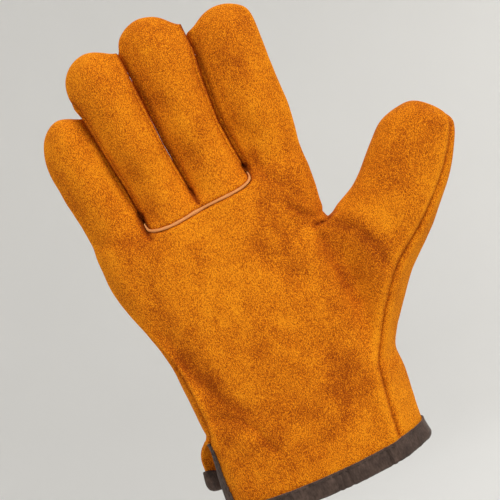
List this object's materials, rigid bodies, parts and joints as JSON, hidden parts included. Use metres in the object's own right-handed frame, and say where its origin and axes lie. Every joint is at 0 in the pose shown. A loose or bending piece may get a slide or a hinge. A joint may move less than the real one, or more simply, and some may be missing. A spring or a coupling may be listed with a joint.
{
  "type": "leather work glove",
  "caption": "Short suede work glove for the right hand in its worn form, sewn from shaped panels, with a bound wrist opening and side slit.",
  "frame": {"origin": "middle of the wrist opening, level with the hem", "axes": "+Z to the fingertips, -Y out of the palm, +X to the thumb side"},
  "size_m": [0.1871, 0.0452, 0.2431],
  "materials": {
    "suede": "napped suede, matt",
    "welt": "pale cut edge, matt",
    "binding": "folded tape, matt"
  },
  "bodies": {
    "root": {"palm_panel": "suede", "two_finger_panel": "suede", "back_panel": "suede", "fourchette_little_ring": "suede", "fourchette_ring_middle": "suede", "fourchette_middle_index": "suede", "finger_welt": "welt", "cuff_binding": "binding"}
  },
  "joints": []
}
